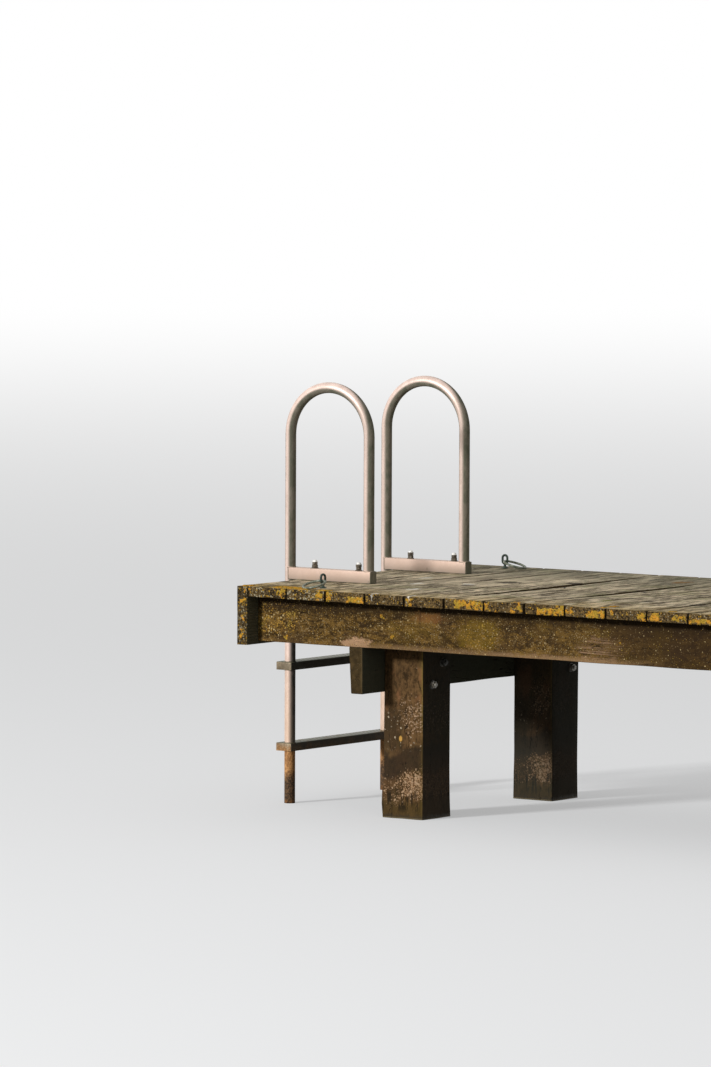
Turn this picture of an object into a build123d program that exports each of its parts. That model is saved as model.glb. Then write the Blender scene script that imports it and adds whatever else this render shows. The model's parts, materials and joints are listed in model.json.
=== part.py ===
"""Wooden jetty end with a bent-tube bathing ladder and two mooring rings.

Millimetres, +Z up. X runs along the jetty towards land, Y across it. The origin lies
at the waterline, under the middle of the whole length and width.
"""

from math import asin, cos, radians, sin
import os

from build123d import *

# Deck: boards across the jetty, on three lines of beams
deck_height = 830.0  # waterline to the top of the boards
deck_width = 1400.0
board_width = 167.0
board_gap = 8.0
board_thickness = 38.0
board_arris = 2.0
deck_overhang = 66.0  # boards past the outer face of the outer beams
beam_width = 63.0
beam_depth = 165.0
beam_arris = 4.0
butt_gap = 2.0

# End fascia: a grooved board across the beam ends
fascia_thickness = 45.0
fascia_depth = 214.0
fascia_joint = 3.0
groove_pitch = 11.0
groove_width = 5.0
groove_depth = 3.0
groove_margin = 10.0

# Bents: two piles and one crossbeam bolted to their outer faces
bent_count = 3
first_bent = 455.0  # fascia's outer face to the first crossbeam's outer face
bay_length = 2450.0
end_overhang = 50.0  # deck past the last piles
crossbeam_thickness = 60.0
crossbeam_depth = 170.0
pile_size = 175.0
pile_inset = 200.0  # deck's edge to the pile's outer face
pile_arris = 6.0

# Crossbeam bolts, two to a pile, staggered
bolt_diameter = 16.0
bolt_clearance = 0.5
bolt_washer = 34.0
bolt_washer_thickness = 3.0
bolt_head = 24.0  # across flats
bolt_head_height = 10.0
bolt_nut_height = 13.0
bolt_stub = 6.0
bolt_side = 55.0  # from the pile's faces
bolt_low = 33.0  # above the crossbeam's lower edge
bolt_high = 60.0  # below its upper edge

# Ladder: two bent tubes that are stringer and handrail in one
tube_diameter = 40.0
tube_wall = 2.5
bend_radius = 178.0
rail_height = 732.0  # deck to the top of the bend
ladder_width = 605.0  # between the tubes' axes
ladder_shift = -12.0  # ladder's middle line from the jetty's
ladder_setback = 44.0  # fascia to the stringers' axes

# Base boxes that carry the ladder on the deck
box_width = 40.0
box_height = 45.0
box_length = 378.0  # from the stringer's axis
box_wall = 3.0
weld_gap = 0.2

# Rungs: folded sheet trays, open below, with the stringers through their tops
rung_front = 47.0  # stringer's axis to the front edge
rung_height = 30.0
rung_sheet = 2.5
rung_play = 0.5
rung_end = 4.0  # past the outside of the tubes
rung_drop = 306.0  # deck to the upper rung's top
rung_pitch = 300.0
rung_corner = 4.0

# Base bolts: a through-bolt from below with a nut and a domed nut above
stud_diameter = 12.0
stud_clearance = 0.5
stud_near = 112.0  # from the stringer's axis
stud_far = 311.0
stud_washer = 27.0
stud_washer_thickness = 2.5
stud_nut = 19.0  # across flats
stud_nut_height = 10.0
stud_head_height = 7.5
dome_hex_height = 12.0
dome_diameter = 17.4
dome_side = 4.5
dome_side_taper = 14.0
dome_crown = 3.0
dome_crown_taper = 52.0

# Mooring eyes, long loops on a shank, and their rings, with rods drawn ten-sided
rod_sides = 10
eye_hole_width = 12.0
eye_hole_height = 24.0
eye_hole_low = 23.0  # deck to the foot of the hole
eye_rod = 7.0
eye_neck = 11.0
eye_collar = 26.0
eye_collar_height = 4.0
eye_shank = 10.0
eye_shank_length = 95.0
eye_board = 1  # counted from 0 at the fascia
eye_shifts = {"near": (0.0, 12.5), "far": (-26.0, 0.0)}  # from that board's and the beam's middle
ring_radius = 41.5  # of the rod's centre line
ring_rod = 7.0
ring_headings = {"near": 252.0, "far": 13.0}  # eye to ring's middle, from +X towards +Y
rest_gap = 0.3

# Places that follow from the sizes above
board_pitch = board_width + board_gap
ladder_reach = ladder_setback + rung_front
bents_length = first_bent + (bent_count - 1) * bay_length + crossbeam_thickness + pile_size
boards_start = fascia_thickness + fascia_joint
board_count = round((bents_length + end_overhang - boards_start + board_gap) / board_pitch)
deck_length = boards_start + board_count * board_pitch - board_gap
x_fascia = ladder_reach - (ladder_reach + deck_length) / 2
x_beams = x_fascia + fascia_thickness
x_boards = x_fascia + boards_start
x_deck_end = x_fascia + deck_length
z_beam_top = deck_height - board_thickness
z_beam_bottom = z_beam_top - beam_depth
z_crossbeam_bottom = z_beam_bottom - crossbeam_depth
bents = [x_fascia + first_bent + i * bay_length for i in range(bent_count)]
sides = {"near": -1, "far": 1}
y_outer_beam = deck_width / 2 - deck_overhang - beam_width / 2
y_pile = deck_width / 2 - pile_inset - pile_size / 2
x_stringer = x_fascia - ladder_setback
y_rails = {
    "near": ladder_shift - ladder_width / 2,
    "far": ladder_shift + ladder_width / 2,
}
x_studs = [x_stringer + stud_near, x_stringer + stud_far]
x_eye_board = x_boards + eye_board * board_pitch + board_width / 2
eye_points = {
    side: (x_eye_board + eye_shifts[side][0], sign * y_outer_beam + eye_shifts[side][1])
    for side, sign in sides.items()
}
z_box_top = deck_height + box_height

os.makedirs("parts", exist_ok=True)

# End fascia, its inner face grooved along its length like a decking board
groove_count = int((fascia_depth - 2 * groove_margin) / groove_pitch) + 1
groove_span = (groove_count - 1) * groove_pitch
grooves = [
    (x_beams, deck_height - fascia_depth / 2 - groove_span / 2 + i * groove_pitch)
    for i in range(groove_count)
]
with BuildPart() as end_fascia:
    with BuildSketch(Plane.XZ):
        with Locations((x_fascia, deck_height)):
            Rectangle(fascia_thickness, fascia_depth, align=(Align.MIN, Align.MAX))
        with Locations(*grooves):
            Rectangle(2 * groove_depth, groove_width, mode=Mode.SUBTRACT)
    extrude(amount=deck_width / 2, both=True)
    chamfer(end_fascia.faces().sort_by(Axis.X)[0].edges().filter_by(Axis.Y), board_arris)
end_fascia.part.label = "end_fascia"
export_step(end_fascia.part, "parts/end_fascia.step")

# Beams in lengths that butt over a crossbeam, with the mooring eyes' holes in the outer ones
beam_joints = [x + crossbeam_thickness / 2 for x in bents[1:-1]]
beam_starts = [x_beams] + [x + butt_gap / 2 for x in beam_joints]
beam_ends = [x - butt_gap / 2 for x in beam_joints] + [x_deck_end]
beam_lines = {"near": -y_outer_beam, "middle": 0.0, "far": y_outer_beam}
for side, y_beam in beam_lines.items():
    for number, (start, end) in enumerate(zip(beam_starts, beam_ends), start=1):
        with BuildPart() as beam:
            with Locations((start, y_beam, z_beam_top)):
                Box(
                    end - start,
                    beam_width,
                    beam_depth,
                    align=(Align.MIN, Align.CENTER, Align.MAX),
                )
            chamfer(beam.faces().sort_by(Axis.Z)[0].edges().filter_by(Axis.X), beam_arris)
            if side in eye_points and start < eye_points[side][0] < end:
                with Locations((*eye_points[side], z_beam_top)):
                    Hole(
                        eye_shank / 2 + stud_clearance,
                        depth=eye_shank_length - board_thickness + stud_clearance,
                    )
        beam.part.label = f"{side}_beam_{number}"
        export_step(beam.part, f"parts/{side}_beam_{number}.step")

# Crossbeams, piles and the bolts that hold them together
outer_bolt = (y_pile + pile_size / 2 - bolt_side, z_crossbeam_bottom + bolt_low)
inner_bolt = (y_pile - pile_size / 2 + bolt_side, z_beam_bottom - bolt_high)
bolt_points = [(sign * y, z) for sign in sides.values() for y, z in (outer_bolt, inner_bolt)]
for number, x_bent in enumerate(bents, start=1):
    x_pile = x_bent + crossbeam_thickness
    x_nut = x_pile + pile_size
    with BuildPart() as crossbeam:
        with Locations((x_bent, 0, z_beam_bottom)):
            Box(
                crossbeam_thickness,
                deck_width - 2 * deck_overhang,
                crossbeam_depth,
                align=(Align.MIN, Align.CENTER, Align.MAX),
            )
        chamfer(crossbeam.faces().sort_by(Axis.Z)[0].edges().filter_by(Axis.Y), beam_arris)
        with BuildSketch(Plane.YZ.offset(x_bent)):
            with Locations(*bolt_points):
                Circle(bolt_diameter / 2 + bolt_clearance)
        extrude(amount=crossbeam_thickness, mode=Mode.SUBTRACT)
    crossbeam.part.label = f"crossbeam_{number}"
    export_step(crossbeam.part, f"parts/crossbeam_{number}.step")

    for side, sign in sides.items():
        with BuildPart() as pile:
            with BuildSketch():
                with Locations((x_pile + pile_size / 2, sign * y_pile)):
                    pile_section = Rectangle(pile_size, pile_size)
                chamfer(pile_section.vertices(), pile_arris)
            extrude(amount=z_beam_bottom)
            with BuildSketch(Plane.YZ.offset(x_pile)):
                with Locations(*[p for p in bolt_points if p[0] * sign > 0]):
                    Circle(bolt_diameter / 2 + bolt_clearance)
            extrude(amount=pile_size, mode=Mode.SUBTRACT)
        pile.part.label = f"{side}_pile_{number}"
        export_step(pile.part, f"parts/{side}_pile_{number}.step")

    with BuildPart() as crossbeam_bolts:
        x_head = x_bent - bolt_washer_thickness - bolt_head_height
        x_tip = x_nut + bolt_washer_thickness + bolt_nut_height + bolt_stub
        with BuildSketch(Plane.YZ.offset(x_head)):
            with Locations(*bolt_points):
                Circle(bolt_diameter / 2)
        extrude(amount=x_tip - x_head)
        with BuildSketch(Plane.YZ.offset(x_head), Plane.YZ.offset(x_nut + bolt_washer_thickness)):
            with Locations(*bolt_points):
                RegularPolygon(bolt_head / 2, 6, major_radius=False)
        extrude(amount=bolt_head_height)
        with BuildSketch(Plane.YZ.offset(x_bent - bolt_washer_thickness), Plane.YZ.offset(x_nut)):
            with Locations(*bolt_points):
                Circle(bolt_washer / 2)
        extrude(amount=bolt_washer_thickness)
    crossbeam_bolts.part.label = f"crossbeam_bolts_{number}"
    export_step(crossbeam_bolts.part, f"parts/crossbeam_bolts_{number}.step")

# Deck boards, one group over each length of the beams, drilled for the bolts and eyes
stud_points = [(x, y) for x in x_studs for y in y_rails.values()]
board_xs = [x_boards + i * board_pitch for i in range(board_count)]
for number, (start, end) in enumerate(zip(beam_starts, beam_ends), start=1):
    group = [x for x in board_xs if start <= x + board_width / 2 < end + butt_gap]
    with BuildPart() as deck_boards:
        with Locations(*[(x, 0, deck_height) for x in group]):
            Box(
                board_width,
                deck_width,
                board_thickness,
                align=(Align.MIN, Align.CENTER, Align.MAX),
            )
        chamfer(
            deck_boards.edges().filter_by(Axis.Y).group_by(Axis.Z)[-1],
            board_arris,
        )
        if number == 1:
            with Locations(*[(x, y, deck_height) for x, y in stud_points]):
                Hole(stud_diameter / 2 + stud_clearance, depth=board_thickness)
            with Locations(*[(x, y, deck_height) for x, y in eye_points.values()]):
                Hole(eye_shank / 2 + stud_clearance, depth=board_thickness)
    deck_boards.part.label = f"deck_boards_{number}"
    export_step(deck_boards.part, f"parts/deck_boards_{number}.step")

# Ladder tubes: up from the water past the deck, over a half-circle and down to the box
z_spring = deck_height + rail_height - tube_diameter / 2 - bend_radius
x_leg = x_stringer + 2 * bend_radius
for side, y_rail in y_rails.items():
    with BuildPart() as handrail:
        with BuildLine(Plane.XZ.offset(-y_rail)):
            Line((x_stringer, 0), (x_stringer, z_spring))
            ThreePointArc(
                (x_stringer, z_spring),
                (x_stringer + bend_radius, z_spring + bend_radius),
                (x_leg, z_spring),
            )
            Line((x_leg, z_spring), (x_leg, z_box_top))
        with BuildSketch():
            with Locations((x_stringer, y_rail)):
                Circle(tube_diameter / 2)
                Circle(tube_diameter / 2 - tube_wall, mode=Mode.SUBTRACT)
        sweep()
    handrail.part.label = f"{side}_handrail"
    export_step(handrail.part, f"parts/{side}_handrail.step")

# Base boxes: closed at the landward end, coped to the tube at the other
for side, y_rail in y_rails.items():
    with BuildPart() as base_box:
        with Locations((x_stringer, y_rail, deck_height)):
            Box(
                box_length,
                box_width,
                box_height,
                align=(Align.MIN, Align.CENTER, Align.MIN),
            )
        with Locations((x_stringer, y_rail, deck_height + box_wall)):
            Box(
                box_length - box_wall,
                box_width - 2 * box_wall,
                box_height - 2 * box_wall,
                align=(Align.MIN, Align.CENTER, Align.MIN),
                mode=Mode.SUBTRACT,
            )
        with Locations((x_stringer, y_rail, z_box_top)):
            Hole(tube_diameter / 2 + weld_gap, depth=box_height)
        with Locations(*[(x, y_rail, z_box_top) for x in x_studs]):
            Hole(stud_diameter / 2 + stud_clearance, depth=box_height)
    base_box.part.label = f"{side}_base_box"
    export_step(base_box.part, f"parts/{side}_base_box.step")

# Rungs: folded trays, their tops and flanges one sheet thick
rung_depth = rung_front + tube_diameter / 2 + rung_play + rung_sheet
rung_length = ladder_width + tube_diameter + 2 * rung_end
for number, name in enumerate(["upper_rung", "lower_rung"]):
    z_rung = deck_height - rung_drop - number * rung_pitch
    with BuildPart() as rung:
        with Locations((x_stringer - rung_front, ladder_shift, z_rung)):
            Box(
                rung_depth,
                rung_length,
                rung_height,
                align=(Align.MIN, Align.CENTER, Align.MAX),
            )
        fillet(rung.edges().filter_by(Axis.Y).group_by(Axis.Z)[-1], rung_corner)
        underside = rung.faces().sort_by(Axis.Z)[0]
        offset(amount=-rung_sheet, openings=underside)
        with Locations(*[(x_stringer, y, z_rung) for y in y_rails.values()]):
            Hole(tube_diameter / 2 + weld_gap, depth=rung_height)
    rung.part.label = name
    export_step(rung.part, f"parts/{name}.step")

# Base bolts: head and washer under the boards, washer, nut and domed nut on the box
z_board_under = deck_height - board_thickness
z_stud_head = z_board_under - stud_washer_thickness - stud_head_height
z_stud_nut = z_box_top + stud_washer_thickness
z_dome = z_stud_nut + stud_nut_height + dome_hex_height
with BuildPart() as base_bolts:
    with BuildSketch(Plane.XY.offset(z_stud_head)):
        with Locations(*stud_points):
            Circle(stud_diameter / 2)
    extrude(amount=z_dome - z_stud_head)
    with BuildSketch(Plane.XY.offset(z_stud_head)):
        with Locations(*stud_points):
            RegularPolygon(stud_nut / 2, 6, major_radius=False)
    extrude(amount=stud_head_height)
    with BuildSketch(Plane.XY.offset(z_board_under - stud_washer_thickness), Plane.XY.offset(z_box_top)):
        with Locations(*stud_points):
            Circle(stud_washer / 2)
    extrude(amount=stud_washer_thickness)
    with BuildSketch(Plane.XY.offset(z_stud_nut)):
        with Locations(*stud_points):
            RegularPolygon(stud_nut / 2, 6, major_radius=False)
    extrude(amount=stud_nut_height + dome_hex_height)
    with BuildSketch(Plane.XY.offset(z_dome)):
        with Locations(*stud_points):
            Circle(dome_diameter / 2)
    extrude(amount=dome_side, taper=dome_side_taper)
    extrude(base_bolts.faces().group_by(Axis.Z)[-1], amount=dome_crown, taper=dome_crown_taper)
base_bolts.part.label = "base_bolts"
export_step(base_bolts.part, "parts/base_bolts.step")

# Mooring eyes, screwed through a board into the outer beams, each with its loose ring
eye_radius = (eye_hole_width + eye_rod) / 2
z_eye_low = eye_hole_low + eye_hole_width / 2
z_eye_high = eye_hole_low + eye_hole_height - eye_hole_width / 2
z_ring_axis = deck_height + eye_hole_low + ring_rod / 2 + rest_gap
z_ring_end = deck_height + ring_rod / 2 + rest_gap
ring_tilt = asin((z_ring_axis - z_ring_end) / (2 * ring_radius))
for side, (x_eye, y_eye) in eye_points.items():
    heading = radians(ring_headings[side])
    x_heading, y_heading = cos(heading), sin(heading)
    eye_plane = Plane(
        origin=(x_eye, y_eye, deck_height),
        x_dir=(x_heading, y_heading, 0),
        z_dir=(y_heading, -x_heading, 0),
    )
    with BuildPart() as mooring_eye:
        with BuildLine(eye_plane):
            Line((eye_radius, z_eye_low), (eye_radius, z_eye_high))
            ThreePointArc(
                (eye_radius, z_eye_high),
                (0, z_eye_high + eye_radius),
                (-eye_radius, z_eye_high),
            )
            Line((-eye_radius, z_eye_high), (-eye_radius, z_eye_low))
            ThreePointArc(
                (-eye_radius, z_eye_low),
                (0, z_eye_low - eye_radius),
                (eye_radius, z_eye_low),
            )
        with BuildSketch(Plane.XY.offset(deck_height + z_eye_low)):
            with Locations((x_eye + eye_radius * x_heading, y_eye + eye_radius * y_heading)):
                RegularPolygon(eye_rod / 2, rod_sides, rotation=ring_headings[side])
        sweep()
        with Locations((x_eye, y_eye, deck_height)):
            Cylinder(
                eye_neck / 2,
                z_eye_low - eye_radius,
                align=(Align.CENTER, Align.CENTER, Align.MIN),
            )
            Cylinder(
                eye_collar / 2,
                eye_collar_height,
                align=(Align.CENTER, Align.CENTER, Align.MIN),
            )
            Cylinder(
                eye_shank / 2,
                eye_shank_length,
                align=(Align.CENTER, Align.CENTER, Align.MAX),
            )
    mooring_eye.part.label = f"{side}_mooring_eye"
    export_step(mooring_eye.part, f"parts/{side}_mooring_eye.step")

    rod_section = Plane(
        origin=(x_eye, y_eye, z_ring_axis),
        x_dir=(x_heading * cos(ring_tilt), y_heading * cos(ring_tilt), -sin(ring_tilt)),
        z_dir=(y_heading, -x_heading, 0),
    )
    ring_axis = Axis(rod_section.from_local_coords((ring_radius, 0, 0)), rod_section.y_dir)
    with BuildPart() as mooring_ring:
        with BuildSketch(rod_section):
            RegularPolygon(ring_rod / 2, rod_sides)
        revolve(axis=ring_axis)
    mooring_ring.part.label = f"{side}_mooring_ring"
    export_step(mooring_ring.part, f"parts/{side}_mooring_ring.step")
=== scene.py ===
import json
import math
import random

import bmesh
import bpy
from bmesh.types import BMEdge, BMFace, BMVert
from mathutils import Matrix, Vector, noise


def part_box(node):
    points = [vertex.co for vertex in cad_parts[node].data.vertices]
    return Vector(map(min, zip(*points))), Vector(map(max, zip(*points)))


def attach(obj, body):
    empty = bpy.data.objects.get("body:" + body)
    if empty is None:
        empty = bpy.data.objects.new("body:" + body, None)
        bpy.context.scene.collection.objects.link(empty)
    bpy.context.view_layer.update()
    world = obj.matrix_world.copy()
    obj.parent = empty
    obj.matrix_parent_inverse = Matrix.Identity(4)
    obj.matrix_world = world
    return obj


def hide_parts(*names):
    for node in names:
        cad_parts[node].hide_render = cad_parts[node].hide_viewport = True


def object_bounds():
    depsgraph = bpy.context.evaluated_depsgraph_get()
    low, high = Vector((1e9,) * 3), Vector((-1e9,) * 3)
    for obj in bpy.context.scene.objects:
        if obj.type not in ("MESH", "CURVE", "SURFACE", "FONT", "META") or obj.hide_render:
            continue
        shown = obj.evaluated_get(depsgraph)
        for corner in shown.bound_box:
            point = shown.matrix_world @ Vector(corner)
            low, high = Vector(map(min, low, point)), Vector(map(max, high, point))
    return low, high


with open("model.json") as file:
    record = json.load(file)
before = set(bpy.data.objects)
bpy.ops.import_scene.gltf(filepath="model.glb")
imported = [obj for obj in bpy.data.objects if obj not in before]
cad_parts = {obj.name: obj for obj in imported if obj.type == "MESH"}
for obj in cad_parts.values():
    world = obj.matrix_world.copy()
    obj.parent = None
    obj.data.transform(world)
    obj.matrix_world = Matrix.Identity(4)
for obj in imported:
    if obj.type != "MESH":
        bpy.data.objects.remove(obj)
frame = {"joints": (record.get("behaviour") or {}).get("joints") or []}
cad_low, cad_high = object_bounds()

# Piles: six square hardwood posts standing in the water, rough sawn and split by drying.
# The lake has left bands on them: crusty and pale just above the water, wet and dark at it.
# The sides that the sun never reaches are painted nearly black as painted shade, the far
# piles are painted darker for the deck's shadow, and a pale line at the waterline is a
# painted reflection.

# Without a seed of its own, noise_vector gives something else each run.
wear_seed = 4
noise.seed_set(wear_seed)


class Value:
    """A shader socket. Plain arithmetic on it adds the Math nodes that do the sum."""

    def __init__(self, finish, socket):
        self.finish = finish
        self.socket = socket

    def maths(self, operation, *terms):
        return self.finish.node("Math", {"operation": operation}, dict(enumerate(terms)))

    def __add__(self, other):
        return self.maths("ADD", self, other)

    def __radd__(self, other):
        return self.maths("ADD", other, self)

    def __sub__(self, other):
        return self.maths("SUBTRACT", self, other)

    def __rsub__(self, other):
        return self.maths("SUBTRACT", other, self)

    def __mul__(self, other):
        return self.maths("MULTIPLY", self, other)

    def __rmul__(self, other):
        return self.maths("MULTIPLY", other, self)

    def __truediv__(self, other):
        return self.maths("DIVIDE", self, other)

    def __abs__(self):
        return self.maths("ABSOLUTE", self)

    def floor(self):
        return self.maths("FLOOR", self)

    def maximum(self, other):
        return self.maths("MAXIMUM", self, other)

    def step(self, low, high):
        """0 as far as low and 1 from high on, smooth between. Low may be the greater."""
        inputs = {"Value": self, "From Min": low, "From Max": high}
        return self.finish.node("MapRange", {"interpolation_type": "SMOOTHSTEP"}, inputs)

    def band(self, middle, outer, inner):
        """1 within inner of the middle, and 0 from outer on."""
        return abs(self - middle).step(outer, inner)

    def part(self, axis):
        return self.finish.node("SeparateXYZ", inputs={0: self}, output=axis)

    def length(self):
        return self.finish.node("VectorMath", {"operation": "LENGTH"}, {0: self}, "Value")


class Finish:
    """One material as it is mixed: each method adds nodes and hands back what they give."""

    def __init__(self, name):
        self.material = bpy.data.materials.new(name)
        self.material.use_nodes = True
        self.tree = self.material.node_tree
        self.tree.nodes.clear()
        self.place = self.node("TexCoord", output="Object")
        self.facing = self.node("TexCoord", output="Normal")
        self.x, self.y, self.z = (self.place.part(axis) for axis in range(3))
        self.face_x, self.face_y, self.face_z = (self.facing.part(axis) for axis in range(3))

    def node(self, kind, settings=None, inputs=None, output=0):
        node = self.tree.nodes.new("ShaderNode" + kind)
        for name, value in (settings or {}).items():
            setattr(node, name, value)
        for name, value in (inputs or {}).items():
            socket = node.inputs[name]
            if isinstance(value, Value):
                self.tree.links.new(value.socket, socket)
            elif socket.type == "RGBA":
                socket.default_value = (*value, 1.0)
            else:
                socket.default_value = value
        return Value(self, node.outputs[output])

    def output(self, shader, kind="Material"):
        end = self.tree.nodes.new("ShaderNodeOutput" + kind)
        self.tree.links.new(shader.socket, end.inputs["Surface"])

    def mix(self, mask, first, second):
        return self.node("Mix", {"data_type": "RGBA"}, {0: mask, 6: first, 7: second}, 2)

    def layered(self, colour, layers):
        """Lays more colours over a colour, each as far as the mask beside it says."""
        for mask, over in layers:
            colour = self.mix(mask, colour, over)
        return colour

    def stretched(self, scales, shift=(0, 0, 0)):
        inputs = {0: self.place, 1: scales, 2: shift}
        return self.node("VectorMath", {"operation": "MULTIPLY_ADD"}, inputs)

    def cloud(self, scales, shift=(0, 0, 0), detail=3.0, roughness=0.55):
        inputs = {"Vector": self.stretched(scales, shift), "Scale": 1.0}
        inputs.update({"Detail": detail, "Roughness": roughness})
        return self.node("TexNoise", inputs=inputs)

    def patches(self, scales, shift, low, high, roughness=0.6):
        """A cloud cut off between two levels: soft-edged patches."""
        return self.cloud(scales, shift, 4.0, roughness).step(low, high)

    def cells(self, scale, shift):
        """Scattered cells: the distance from the nearest one's middle, and its own chance."""
        inputs = {"Vector": self.stretched((scale,) * 3, shift), "Scale": 1.0}
        colour = self.node("TexVoronoi", inputs=inputs, output="Color")
        return self.node("TexVoronoi", inputs=inputs, output="Distance"), colour.part(0)

    def flecks(self, size, cover, shift=(0, 0, 0)):
        """Ragged flecks of about this size. A cover of 0 leaves none and 1 fills over half."""
        distance, chance = self.cells(0.6 / size, shift)
        ragged = self.cloud((1.3 / size,) * 3, shift, 2.0, 0.6)
        radius = (chance * 0.7 + cover * 0.9 - 0.5) * 0.75
        return (distance + (ragged - 0.5) * 0.7).step(radius, radius - 0.1)

    def specks(self, pitch, radius, share, shift=(0, 0, 0)):
        """Scattered spots, of which a share of the cells has one; radius is part of the pitch."""
        distance, chance = self.cells(1 / pitch, shift)
        size = chance.step(1 - share, 1.0) * radius
        return distance.step(size, size * 0.5) * chance.step(1 - share, 1.01 - share)

    def blot(self, centre, radii, ragged=0.0):
        """One patch about a point, full in its middle; ragged is a value that breaks its edge."""
        scales = tuple(1 / radius for radius in radii)
        shift = tuple(-middle / radius for middle, radius in zip(centre, radii))
        return (self.stretched(scales, shift).length() + ragged).step(1.0, 0.6)

    def toward(self, direction):
        """How far a face is turned to a direction."""
        inputs = {0: self.facing, 1: direction}
        return self.node("VectorMath", {"operation": "DOT_PRODUCT"}, inputs, "Value")

    def surface(self, colour, roughness, height, depth, metallic=0.0, specular=0.12):
        bump = self.node("Bump", inputs={"Strength": 1.0, "Distance": depth, "Height": height})
        inputs = {
            "Base Color": colour,
            "Roughness": roughness,
            "Metallic": metallic,
            "Specular IOR Level": specular,
            "Normal": bump,
        }
        self.output(self.node("BsdfPrincipled", inputs=inputs))
        return self


class Grain:
    """Sawn wood's figure along one axis: streaks, fibres, drying cracks and blotches."""

    def __init__(self, finish, along, shift=(0, 0, 0), short=1.0):
        def figure(across, length, detail, roughness):
            scales = tuple(length if axis == along else across for axis in range(3))
            return finish.cloud(scales, shift, detail, roughness)

        self.streaks = figure(48, 3 * short, 5.0, 0.66)
        self.fibres = figure(230, 14 * short, 3.0, 0.6)
        self.blotches = figure(12, 7, 5.0, 0.66)
        wander = figure(19, 1.6 * short, 4.0, 0.5)
        self.cracks = wander.band(0.5, 0.008, 0.002) * self.blotches.step(0.5, 0.6)
        self.height = self.streaks * 0.5 + self.fibres * 0.3 - self.cracks * 0.9


def add_block(bm, low, high):
    """Makes an empty bmesh a plain block between two corners."""
    bmesh.ops.create_cube(bm, size=1)
    bmesh.ops.scale(bm, vec=high - low, verts=bm.verts)
    bmesh.ops.translate(bm, vec=(low + high) / 2, verts=bm.verts)


def ease(bm, edges, radius, segments):
    bmesh.ops.bevel(
        bm, geom=edges, offset=radius, affect="EDGES", segments=segments, profile=0.5, material=-1
    )


def pour(own, bm):
    """Moves all that one bmesh holds into another."""
    mesh = bpy.data.meshes.new("passing")
    own.to_mesh(mesh)
    own.free()
    bm.from_mesh(mesh)
    bpy.data.meshes.remove(mesh)


def add_timber(bm, low, high, along, arris, wear, ring=0.045, ends=True):
    """Adds a squared timber between two corners, its arrises eased and its faces uneven."""
    own = bmesh.new()
    add_block(own, low, high)
    eased = [
        edge
        for edge in own.edges
        if ends or abs((edge.verts[0].co - edge.verts[1].co)[along]) > 1e-6
    ]
    ease(own, eased, arris, 2)
    for axis in range(3):
        span = high[axis] - low[axis] - 2 * arris
        cuts = round(span / (ring if axis == along else ring_across))
        normal = Vector([1.0 if other == axis else 0.0 for other in range(3)])
        for cut in range(1, cuts):
            place = normal * (low[axis] + arris + span * cut / cuts)
            everything = own.verts[:] + own.edges[:] + own.faces[:]
            bmesh.ops.bisect_plane(own, geom=everything, plane_co=place, plane_no=normal)
    middle = (low + high) / 2
    for vert in own.verts:
        ridge = Vector(vert.co)
        ridge[along] *= ridge_stretch
        shift = noise.noise_vector(ridge * ridges + middle * 7) * 0.5
        shift += noise.noise_vector(vert.co * bows + middle * 3)
        shift[along] *= 0.6 if ends else 0.0
        vert.co += shift * wear
    pour(own, bm)


def linked(bm, name, finish):
    """Makes the bmesh an object of one material in the scene."""
    mesh = bpy.data.meshes.new(name)
    bm.to_mesh(mesh)
    bm.free()
    mesh.materials.append(finish.material)
    made = bpy.data.objects.new(name, mesh)
    bpy.context.scene.collection.objects.link(made)
    return made


def finished(bm, name, finish, nodes=(), sharp=38.0, body="jetty"):
    """Makes the bmesh a piece of the object, which rides on a body and may stand for nodes."""
    bmesh.ops.recalc_face_normals(bm, faces=bm.faces)
    made = linked(bm, name, finish)
    made.data.polygons.foreach_set("use_smooth", [True] * len(made.data.polygons))
    made.data.set_sharp_from_angle(angle=math.radians(sharp))
    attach(made, body)
    if nodes:
        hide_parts(*nodes)
    return made


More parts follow.
